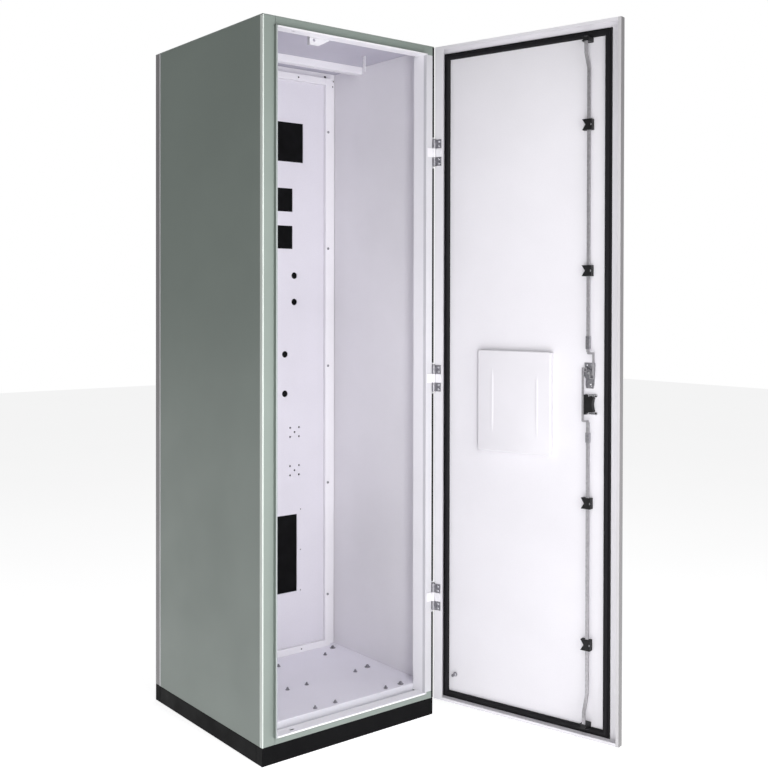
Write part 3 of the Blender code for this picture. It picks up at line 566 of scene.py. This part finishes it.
def dress_door():
    """White inside, green-grey on the outer face, painted shade along the free side; plated and moulded lock
    parts.
    """
    # painted shade on the free side's return flange
    outer = [(FOLD_SHADE_GREY, outside_of([("X", DOOR_LOW.x + 9.6 * MILLIMETRE, -1)])),
             # painted shade on the free edge face
             (EDGE_SHADE_GREY, outside_of([("X", DOOR_LOW.x + PAINT_SKIN, -1)])),
             (GREEN_GREY, outside_of([("Y", DOOR_LOW.y + PAINT_SKIN, -1)]))]
    dress(["door_shell"], powder_coat("door_coat", DOOR_WHITE, outer, SHUT_TO_OPEN),
          0.9 * MILLIMETRE)
    rod_zinc = zinc_plate("rod_zinc", display(158, 156, 160), display(188, 186, 190), 0.40, 0.7)
    dress(["upper_rod", "lower_rod"], rod_zinc, 0.5 * MILLIMETRE)
    dress(["handle_spindle"], BRIGHT_ZINC, 0.3 * MILLIMETRE)
    dress(["lock_cam", "ground_stud", "lever_pin", "hinge_pin_top", "hinge_pin_middle",
           "hinge_pin_bottom", "key_cylinder"], ZINC, 0.3 * MILLIMETRE)
    dress(["handle_base"], MOULDING, 2.0 * MILLIMETRE)
    dress(["handle_lever"], MOULDING, 3.0 * MILLIMETRE)
    dress(["key_cover"], MOULDING, 0.6 * MILLIMETRE)


# ---- inside the cabinet ---------------------------------------------------------------------------
def panel_lining():
    """Black board behind the instrument panel's cut-outs."""
    low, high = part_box("instrument_panel")
    inset = 19 * MILLIMETRE
    margin = 3 * MILLIMETRE
    front = high.y + GAP
    board = prism(rounded((low.x + inset, low.z + margin), (high.x - inset, high.z - margin),
                          6 * MILLIMETRE), "Y", front, front + 1.5 * MILLIMETRE)
    piece("panel_lining", board, lining_board(), "cabinet", 0.4 * MILLIMETRE)


PANEL_SCREW_HEIGHTS = (1.801, 1.4145, 1.025, 0.636, 0.263)


def panel_screws():
    """Pan heads down both side rails."""
    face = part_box("panel_rail_right")[0].y
    centre = (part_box("instrument_panel")[1].x + RIM_WIDTH / 2)
    heads = bmesh.new()
    for side in (-1, 1):
        for height in PANEL_SCREW_HEIGHTS:
            cross_screw((side * centre, face, height), (0, -1, 0), 4.2 * MILLIMETRE, 2.4 * MILLIMETRE, heads)
    piece("panel_rail_screws", heads, ZINC, "cabinet")


def hole_shade_discs():
    """Dark discs in the rim's top and bottom, in its outer foot and in the plate above it: painted shade where
    these have holes.
    """
    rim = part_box("panel_rail_right")[0].y
    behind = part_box("instrument_panel")[1].y + GAP
    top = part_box("panel_rail_top")
    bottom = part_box("panel_rail_bottom")
    top_height = (top[0].z + top[1].z) / 2
    bottom_height = (bottom[0].z + bottom[1].z) / 2
    spots = [((0.142, rim, top_height), 2.8), ((0.156, rim, bottom_height), 2.4),
             ((0.257, behind, top[1].z + 0.006), 4.2), ((0.2915, behind, top_height + 0.007), 2.2),
             ((0.2885, behind, top_height - 0.011), 2.2)]
    shade_discs = bmesh.new()
    for (x, y, z), radius in spots:
        for side in (-1, 1):
            size = radius * MILLIMETRE
            turned([(size, 0), (size, 0.25 * MILLIMETRE), (size * 0.8, 0.5 * MILLIMETRE),
                    (size * 0.6, 0.2 * MILLIMETRE)], (side * x, y, z), (0, -1, 0), 20, shade_discs)
    piece("hole_shade_discs", shade_discs, MOULDING, "cabinet")


def panel_head_plate():
    """Folded strip that closes the cabinet between the panel's top rail and the roof."""
    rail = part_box("panel_rail_right")
    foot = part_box("instrument_panel")[1].y + GAP
    low, high = rail[1].z + GAP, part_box("roof_panel")[0].z - GAP
    fold = 8 * MILLIMETRE
    thick = 1.2 * MILLIMETRE
    outline = [(foot, low), (foot, high), (foot + fold, high), (foot + fold, high - thick),
               (foot + thick, high - thick), (foot + thick, low)]
    half = rail[1].x
    piece("panel_head_plate", prism(outline, "X", -half, half), INNER_COAT, "cabinet",
          0.3 * MILLIMETRE)


def stiffener_pads():
    """White pads under the roof stiffener."""
    low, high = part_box("roof_stiffener")
    pads = bmesh.new()
    half = (13 * MILLIMETRE, 5 * MILLIMETRE)
    middle = (low.y + high.y) / 2
    for x in (-0.205, -0.105, 0.105, 0.205):
        outline = rounded((x - half[0], middle - half[1]), (x + half[0], middle + half[1]), 4.5 * MILLIMETRE)
        prism(outline, "Z", low.z - 1.8 * MILLIMETRE, low.z, pads)
    piece("stiffener_pads", pads, POCKET, "cabinet", 0.5 * MILLIMETRE)


def shadow_gap_strips():
    """Black strips down the hinge post's edge, between the hinges: painted shadow of the gap between post and
    door.
    """
    low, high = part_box("front_post_right")
    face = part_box("front_top_rail")[0].y + LIP_REACH
    clear = 6 * MILLIMETRE
    edges = [low.z]
    for place in ("bottom", "middle", "top"):
        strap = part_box("door_hinge_" + place)
        edges += [strap[0].z - clear, strap[1].z + clear]
    edges.append(high.z)
    strips = bmesh.new()
    crown = face - 0.9 * MILLIMETRE
    outline = [(high.x, face), (high.x, crown), (high.x - 5.5 * MILLIMETRE, crown),
               (high.x - 6.5 * MILLIMETRE, face)]
    for bottom, top in zip(edges[::2], edges[1::2]):
        prism(outline, "Z", bottom + MILLIMETRE, top - MILLIMETRE, strips)
    piece("shadow_gap_strips", strips, sealing_foam(), "cabinet", 0.2 * MILLIMETRE)


LARGE_FLOOR_BOLTS = ((0.262, 0.446), (0.240, 0.228), (0.227, 0.048))
SMALL_FLOOR_BOLTS = ((0.202, 0.404), (0.022, 0.404), (0.184, 0.217), (0.0015, 0.217), (-0.067, 0.217),
                     (0.170, 0.048), (-0.015, 0.048), (-0.085, 0.048), (-0.202, 0.404), (-0.240, 0.228),
                     (-0.227, 0.048))


def floor_bolts():
    """Zinc bolts that hold the floor plate down."""
    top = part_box("floor_plate")[1].z
    bolts = bmesh.new()
    for x, y in LARGE_FLOOR_BOLTS:
        hex_bolt((x, y, top), 10 * MILLIMETRE, 5 * MILLIMETRE, bolts)
    for x, y in SMALL_FLOOR_BOLTS:
        hex_bolt((x, y, top), 7 * MILLIMETRE, 5 * MILLIMETRE, bolts)
    piece("floor_bolts", bolts, ZINC, "cabinet")


def rear_cover_screws():
    """Flush screws down both edges of the rear cover."""
    low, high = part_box("rear_cover")
    margin = 14 * MILLIMETRE
    rows = 7
    heads = bmesh.new()
    for side in (-1, 1):
        for row in range(rows):
            height = low.z + 0.04 + (high.z - low.z - 0.08) * row / (rows - 1)
            spot = (side * (high.x - margin), high.y - 1.5 * MILLIMETRE, height)
            cross_screw(spot, (0, 1, 0), 3.6 * MILLIMETRE, 1.5 * MILLIMETRE, heads)
    piece("rear_cover_screws", heads, ZINC, "cabinet")


# ---- on the door ----------------------------------------------------------------------------------
def door_gasket():
    """D-section foam seal, mitred at its corners: a flat outer foot and a round bulb."""
    low, high = shut_box("door_gasket")
    depth = high.y - low.y
    foot = 5 * MILLIMETRE
    bulb = [(foot + (GASKET_WIDTH - foot) * (1 - math.cos(math.radians(angle))) / 2,
             depth * (0.32 + 0.68 * math.sin(math.radians(angle)))) for angle in range(0, 181, 15)]
    profile = [(0.0, 0.0), (0.0, depth * 0.30), (0.6 * MILLIMETRE, depth * 0.36),
               (foot - 0.4 * MILLIMETRE, depth * 0.34), *bulb, (GASKET_WIDTH, 0.0)]
    shape = bmesh.new()
    corners = ((high.x, high.z, -1, -1), (low.x, high.z, 1, -1), (low.x, low.z, 1, 1), (high.x, low.z, -1, 1))
    rings = [[shape.verts.new((x + inward * to_x, low.y + height, z + inward * to_z))
              for inward, height in profile] for x, z, to_x, to_z in corners]
    count = len(profile)
    for ring, after in zip(rings, rings[1:] + rings[:1]):
        for i in range(count):
            shape.faces.new((ring[i], ring[(i + 1) % count], after[(i + 1) % count], after[i]))
    piece("gasket_seal", shape, sealing_foam(), "door", 0, SHUT_TO_OPEN, ["door_gasket"])


def pan(low, high, base, front, corner, roll):
    """Shallow pan whose front rolls over into its sides."""
    shape = bmesh.new()
    levels = [(0.0, base), (0.0, front - roll)]
    for angle in (22.5, 45, 67.5, 90):
        turn = math.radians(angle)
        levels.append((roll * (1 - math.cos(turn)), front - roll + roll * math.sin(turn)))
    rings = []
    for inset, y in levels:
        near = (low[0] + inset, low[1] + inset)
        far = (high[0] - inset, high[1] - inset)
        outline = rounded(near, far, corner - inset)
        rings.append([shape.verts.new((x, y, z)) for x, z in outline])
    shape.faces.new(rings[0])
    shape.faces.new(rings[-1])
    count = len(rings[0])
    for lower, upper in zip(rings, rings[1:]):
        for i in range(count):
            after = (i + 1) % count
            shape.faces.new((lower[i], lower[after], upper[after], upper[i]))
    return shape


def document_pocket():
    """Thin moulded tray, open at the top, with two upright beads pressed into its front."""
    low, high = shut_box("document_pocket")
    wall = 1.2 * MILLIMETRE
    roll = 4 * MILLIMETRE
    outer = pan((low.x, low.z), (high.x, high.z), low.y, high.y, 7 * MILLIMETRE, roll)
    inner = pan((low.x + wall, low.z + wall), (high.x - wall, high.z + 0.02), low.y - wall, high.y - wall,
                6 * MILLIMETRE, roll - wall)
    piece("document_tray", carved(outer, inner), POCKET, "door", 0, SHUT_TO_OPEN,
          ["document_pocket"])
    beads = bmesh.new()
    for x, bottom, top in ((0.098, 0.857, 1.054), (-0.047, 0.849, 1.037)):
        tray_bead(beads, x, bottom, top, high.y)
    piece("tray_beads", beads, POCKET, "door", 0, SHUT_TO_OPEN)


def tray_bead(shape, x, bottom, top, face):
    """Long low bead that fades out at both ends."""
    half_width = 5 * MILLIMETRE
    rise = 1.6 * MILLIMETRE
    levels = 20
    across = 10
    rings = []
    for i in range(levels + 1):
        share = i / levels
        swell = max(0.06, min(1.0, 2.2 * math.sin(math.pi * share)))
        points = [(x + half_width * math.cos(math.pi * j / across) * (0.5 + 0.5 * swell),
                   face - 0.3 * MILLIMETRE + rise * swell * math.sin(math.pi * j / across) ** 1.5)
                  for j in range(across + 1)]
        height = bottom + (top - bottom) * share
        rings.append([shape.verts.new((px, py, height)) for px, py in points])
    shape.faces.new(rings[0])
    shape.faces.new(rings[-1])
    for lower, upper in zip(rings, rings[1:]):
        for j in range(across):
            shape.faces.new((lower[j], lower[j + 1], upper[j + 1], upper[j]))
        shape.faces.new((lower[-1], lower[0], upper[0], upper[-1]))


def rod_guides():
    """Black guides that the lock's rods slide through, notched on the hinge side."""
    names = [name for name in NODES if name.startswith(("rod_guide", "rod_end_guide"))]
    rod_half = 4.5 * MILLIMETRE + GAP
    rod_deep = 2.5 * MILLIMETRE + GAP
    for name in sorted(names):
        low, high = shut_box(name)
        middle = (low.z + high.z) / 2
        end = name.startswith("rod_end")
        low.x += (high.x - low.x) * (0.22 if end else 0.20)
        high.x -= 3 * MILLIMETRE if end else 0
        notch = (high.x - ROD_X) * 0.55
        outline = [(low.x, low.z), (high.x, low.z), (high.x - notch, middle), (high.x, high.z),
                   (low.x, high.z)]
        body = prism(outline, "Y", low.y, high.y)
        rod_y = high.y - (5.5 if end else 6.0) * MILLIMETRE
        channel = block((ROD_X - rod_half, rod_y - rod_deep, low.z - MILLIMETRE),
                        (ROD_X + rod_half, rod_y + rod_deep, high.z + MILLIMETRE))
        tall = 3.4 * MILLIMETRE if end else 5 * MILLIMETRE
        relief = block((low.x - MILLIMETRE, high.y - 2.4 * MILLIMETRE, middle - tall),
                       (ROD_X - 7 * MILLIMETRE, high.y + MILLIMETRE, middle + tall))
        guide = carved(body, channel, relief)
        piece(name + "_body", guide, MOULDING, "door", 0.7 * MILLIMETRE, SHUT_TO_OPEN,
              [name])
        screw = bmesh.new()
        head = (2.2 if end else 3.2) * MILLIMETRE
        seat = (low.x + head + 1.2 * MILLIMETRE, high.y - 2.4 * MILLIMETRE, middle)
        cross_screw(seat, (0, 1, 0), head, 1.6 * MILLIMETRE, screw)
        piece(name + "_screw", screw, ZINC, "door", 0, SHUT_TO_OPEN)


def lock_housing():
    """Black lock body with a tall bracket on the hinge side and two plated lugs on the other."""
    low, high = shut_box("lock_housing")
    tall = 4 * MILLIMETRE
    waist = 3 * MILLIMETRE
    bar = high.x - 3.2 * MILLIMETRE
    flare = bar - 3 * MILLIMETRE
    free_side = low.x + 7.5 * MILLIMETRE
    outline = [(high.x, low.z - tall), (high.x, high.z + tall), (bar, high.z + tall),
               (flare, high.z - waist), (free_side, high.z - waist)]
    outline += arc((free_side - 0.052, CYLINDER.z), 0.0535, 18, -18, 8)
    outline += [(free_side, low.z + waist), (flare, low.z + waist), (bar, low.z - tall)]
    body = prism(outline, "Y", low.y, high.y)
    bore = prism(circle((ROD_X, CYLINDER.z), 8.3 * MILLIMETRE), "Y", low.y - MILLIMETRE, low.y + 13.5 * MILLIMETRE)
    piece("lock_body", carved(body, bore), MOULDING, "door", 0.7 * MILLIMETRE,
          SHUT_TO_OPEN, ["lock_housing"])
    lugs = bmesh.new()
    for side, edge in ((1, high.z), (-1, low.z)):
        base = edge - side * waist
        xs = (low.x - 1 * MILLIMETRE, flare - 3 * MILLIMETRE)
        zs = sorted((base + side * 0.3 * MILLIMETRE, base + side * 7.5 * MILLIMETRE))
        plate = rounded((xs[0], zs[0]), (xs[1], zs[1]), 2 * MILLIMETRE)
        prism(plate, "Y", low.y, low.y + 2 * MILLIMETRE, lugs)
        ear = sorted((base + side * 4.5 * MILLIMETRE, base + side * 6.5 * MILLIMETRE))
        block((xs[0], low.y + 2.1 * MILLIMETRE, ear[0]), (xs[1], low.y + 9 * MILLIMETRE, ear[1]), lugs)
    piece("lock_lugs", lugs, BRIGHT_ZINC, "door", 0.4 * MILLIMETRE, SHUT_TO_OPEN)
    caps = bmesh.new()
    for side, edge in ((1, high.z), (-1, low.z)):
        seat = (low.x + 3 * MILLIMETRE, low.y + 2 * MILLIMETRE, edge + side * 0.2 * MILLIMETRE)
        profile = [(2.4 * MILLIMETRE, 0), (2.4 * MILLIMETRE, 1.4 * MILLIMETRE),
                   (1.6 * MILLIMETRE, 2 * MILLIMETRE)]
        turned(profile, seat, (0, 1, 0), 20, caps)
    piece("lug_screws", caps, MOULDING, "door", 0, SHUT_TO_OPEN)


def latch_plate():
    """Plated backing plate of the cam: waisted, with a bulge on the hinge side and two holes."""
    low, high = shut_box("latch_plate")
    step = 2.5 * MILLIMETRE
    outline = [(low.x + step * 2, low.z), (high.x - step * 3, low.z),
               (high.x - step * 2, low.z + 8 * step / 2)]
    outline += arc((high.x - 17 * MILLIMETRE, SPINDLE.z - 2 * MILLIMETRE), 17.5 * MILLIMETRE, -50, 42, 14)
    outline += [(high.x - step, high.z - 3 * step), (high.x - step / 2, high.z), (low.x, high.z),
                (low.x, high.z - 4 * step), (low.x + step, low.z + 5 * step)]
    plate = prism(outline, "Y", low.y, high.y)
    spindle = prism(circle((ROD_X, SPINDLE.z), 6.4 * MILLIMETRE), "Y", low.y - MILLIMETRE, high.y + MILLIMETRE)
    small = []
    for dx, dz, size in ((8, 22, 2.2), (-8, 22, 2.2), (-3, -30, 2.2), (-6, -36, 1.6)):
        hole = circle((ROD_X + dx * MILLIMETRE, SPINDLE.z + dz * MILLIMETRE), size * MILLIMETRE, 20)
        small.append(prism(hole, "Y", low.y - MILLIMETRE, high.y + MILLIMETRE))
    piece("latch_backing", carved(plate, spindle, *small), ZINC, "door", 0.3 * MILLIMETRE,
          SHUT_TO_OPEN, ["latch_plate"])
    rivets = bmesh.new()
    for dx, dz in ((8, 22), (-8, 22), (-3, -30)):
        spot = (ROD_X + dx * MILLIMETRE, low.y + 0.2 * MILLIMETRE, SPINDLE.z + dz * MILLIMETRE)
        profile = [(2.0 * MILLIMETRE, 0), (2.0 * MILLIMETRE, 1.3 * MILLIMETRE),
                   (3.4 * MILLIMETRE, 1.4 * MILLIMETRE), (3.2 * MILLIMETRE, 2.2 * MILLIMETRE),
                   (1.8 * MILLIMETRE, 2.8 * MILLIMETRE)]
        turned(profile, spot, (0, 1, 0), 20, rivets)
    piece("latch_rivets", rivets, BRIGHT_ZINC, "door", 0, SHUT_TO_OPEN)


def rod_coupler(name, body, bottom, top, finish):
    """Clamp sleeve round a rod."""
    half = (6 * MILLIMETRE, 4 * MILLIMETRE)
    inner = (4.6 * MILLIMETRE, 2.6 * MILLIMETRE)
    sleeve = block((ROD_X - half[0], ROD_Y - half[1], bottom), (ROD_X + half[0], ROD_Y + half[1], top))
    bore = block((ROD_X - inner[0], ROD_Y - inner[1], bottom - MILLIMETRE),
                 (ROD_X + inner[0], ROD_Y + inner[1], top + MILLIMETRE))
    piece(name, carved(sleeve, bore), finish, body, 0.6 * MILLIMETRE, SHUT_TO_OPEN)


def rod_couplers():
    rod_coupler("upper_rod_coupler", "upper_rod", 1.1105, 1.146, ZINC)
    rod_coupler("lower_rod_coupler", "lower_rod", 0.856, 0.883, ZINC)


def door_hinges():
    """Each hinge: two plated plates on the door with a painted cover between them."""
    pin = 2.8 * MILLIMETRE
    knuckle = 5 * MILLIMETRE
    for place in ("top", "middle", "bottom"):
        node = "door_hinge_" + place
        low, high = shut_box(node)
        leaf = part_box("hinge_leaf_" + place)
        face = (DOOR_HIGH.y + GAP, DOOR_HIGH.y + GAP + SHEET)
        start = math.degrees(math.asin((face[0] - HINGE.y) / knuckle))
        end = math.degrees(math.asin((face[1] - HINGE.y) / knuckle))
        outline = arc((HINGE.x, HINGE.y), knuckle, -180 - start, 180 - end, 28)
        inner = low.x + 4 * MILLIMETRE
        outline += [(inner, face[1]), (inner, face[0])]
        for mark, bottom, top in (("upper", leaf[1].z + GAP, high.z), ("lower", low.z, leaf[0].z - GAP)):
            plate = prism(outline, "Z", bottom, top)
            bore = prism(circle((HINGE.x, HINGE.y), pin), "Z", bottom - MILLIMETRE, top + MILLIMETRE)
            replaced = [node] if mark == "upper" else []
            piece(f"hinge_plate_{place}_{mark}", carved(plate, bore), ZINC, "door",
                  0.4 * MILLIMETRE, SHUT_TO_OPEN, replaced)
            heads = bmesh.new()
            for dz in (-6.5, 6.5):
                spot = (inner + 7 * MILLIMETRE, face[1], (bottom + top) / 2 + dz * MILLIMETRE)
                cross_screw(spot, (0, 1, 0), 3.6 * MILLIMETRE, 1.4 * MILLIMETRE, heads)
            piece(f"hinge_screws_{place}_{mark}", heads, BRIGHT_ZINC, "door", 0, SHUT_TO_OPEN)
        cover = prism(rounded((inner, leaf[0].z + GAP), (HINGE.x - 6 * MILLIMETRE, leaf[1].z - GAP),
                              4 * MILLIMETRE), "Y", face[0], face[1])
        piece(f"hinge_cover_{place}", cover, INNER_COAT, "door", 0.8 * MILLIMETRE,
              SHUT_TO_OPEN)


def ground_fittings():
    """Nut and washer on the door's earth stud."""
    low, high = shut_box("ground_stud")
    centre = Vector(((low.x + high.x) / 2, low.y, (low.z + high.z) / 2))
    shape = bmesh.new()
    clear = 4.1 * MILLIMETRE
    foot = centre + Vector((0, GAP, 0))
    washer(foot, (0, 1, 0), clear, 6.8 * MILLIMETRE, 1.2 * MILLIMETRE, shape)
    nut = bmesh.new()
    across = 6.0 * MILLIMETRE
    seat = centre + Vector((0, 1.8 * MILLIMETRE, 0))
    turned([(across, 0), (across, 5 * MILLIMETRE), (across * 0.88, 6 * MILLIMETRE)], seat, (0, 1, 0), 6, nut)
    bore = prism(circle((centre.x, centre.z), clear, 24), "Y", low.y, high.y + MILLIMETRE)
    piece("ground_washer", shape, ZINC, "door", 0, SHUT_TO_OPEN)
    piece("ground_nut", carved(nut, bore), BRIGHT_ZINC, "door", 0.3 * MILLIMETRE,
          SHUT_TO_OPEN)


# ---- room, light and camera -----------------------------------------------------------------------
def add_floor():
    size = 12.0
    shape = bmesh.new()
    bmesh.ops.create_grid(shape, x_segments=1, y_segments=1, size=size)
    mesh = bpy.data.meshes.new("studio_floor")
    shape.to_mesh(mesh)
    shape.free()
    floor = bpy.data.objects.new("studio_floor", mesh)
    bpy.context.scene.collection.objects.link(floor)
    graph = Graph("studio_floor")
    tone = graph.mix(graph.spread(graph.noise(0.8, 2), 0, 1), display(244, 244, 245), display(249, 249, 250))
    graph.shader.inputs["Emission Color"].default_value = (1, 1, 1, 1)
    graph.shader.inputs["Emission Strength"].default_value = 0.80
    mesh.materials.append(graph.finish(tone, 0.8, graph.bump(graph.noise(40, 2), 0.02, MILLIMETRE)))


def add_area(name, place, aim, size, watts):
    light = bpy.data.lights.new(name, "AREA")
    light.shape = "RECTANGLE"
    light.size, light.size_y = size
    light.energy = watts
    lamp = bpy.data.objects.new(name, light)
    bpy.context.scene.collection.objects.link(lamp)
    lamp.location = place
    lamp.rotation_euler = (Vector(aim) - Vector(place)).to_track_quat("-Z", "Y").to_euler()
    lamp.visible_camera = False


def add_world():
    """Even studio surround, white where the camera sees it."""
    world = bpy.data.worlds.new("studio")
    bpy.context.scene.world = world
    world.use_nodes = True
    tree = world.node_tree
    tree.nodes.clear()
    path = tree.nodes.new("ShaderNodeLightPath")
    mix = tree.nodes.new("ShaderNodeMixShader")
    out = tree.nodes.new("ShaderNodeOutputWorld")
    for socket, strength in ((1, 0.11), (2, 1.0)):
        sky = tree.nodes.new("ShaderNodeBackground")
        sky.inputs["Color"].default_value = (1, 1, 1, 1)
        sky.inputs["Strength"].default_value = strength
        tree.links.new(sky.outputs["Background"], mix.inputs[socket])
    tree.links.new(path.outputs["Is Camera Ray"], mix.inputs["Fac"])
    tree.links.new(mix.outputs["Shader"], out.inputs["Surface"])


def add_camera():
    lens = bpy.data.cameras.new("camera")
    lens.lens = 50.24
    lens.sensor_width = 36.0
    lens.shift_y = -0.094
    camera = bpy.data.objects.new("camera", lens)
    bpy.context.scene.collection.objects.link(camera)
    camera.location = (-1.813, -2.435, 1.239)
    pitch, roll, yaw = (math.radians(angle) for angle in (-0.55, 0.11, 38.48))
    camera.rotation_euler = (math.pi / 2 + pitch, -roll, -yaw)
    bpy.context.scene.camera = camera


# ---- making ---------------------------------------------------------------------------------------
CABINET_HALF_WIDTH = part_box("roof_panel")[1].x
OPENING_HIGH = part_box("front_top_rail")[0].z
OPENING_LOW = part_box("front_bottom_rail")[1].z
RIM_WIDTH = 21 * MILLIMETRE
GASKET_WIDTH = 19.5 * MILLIMETRE
LIP_REACH = 12 * MILLIMETRE
ROD_Y = shut_box("rod_guide_upper_outer")[1].y - 6 * MILLIMETRE
INNER_COAT = powder_coat("inner_coat", WHITE)
ZINC = zinc_plate("zinc_plate", display(140, 139, 144), display(178, 177, 182), 0.36)
BRIGHT_ZINC = zinc_plate("bright_zinc", display(190, 190, 194), display(226, 226, 230), 0.26)
MOULDING = black_moulding()
POCKET = pocket_plastic()

add_world()
add_area("key", (-0.45, -3.0, 1.30), (0.0, 0.0, 1.05), (1.6, 2.2), 26)
add_area("strip", (-0.24, -0.95, 1.05), (-0.10, 0.10, 1.0), (0.22, 1.9), 9.4)
add_area("overhead", (0.1, 0.6, 3.8), (0.0, 0.4, 2.0), (1.2, 1.2), 20)
add_floor()
add_camera()
dress_cabinet()
dress_door()
panel_lining()
panel_screws()
# painted shade of the holes in the panel rim
hole_shade_discs()
panel_head_plate()
stiffener_pads()
# painted shadow of the gap along the hinge post
shadow_gap_strips()
floor_bolts()
rear_cover_screws()
door_gasket()
document_pocket()
rod_guides()
lock_housing()
latch_plate()
rod_couplers()
door_hinges()
ground_fittings()

bpy.context.scene.view_settings.view_transform = "Standard"
bpy.context.view_layer.update()
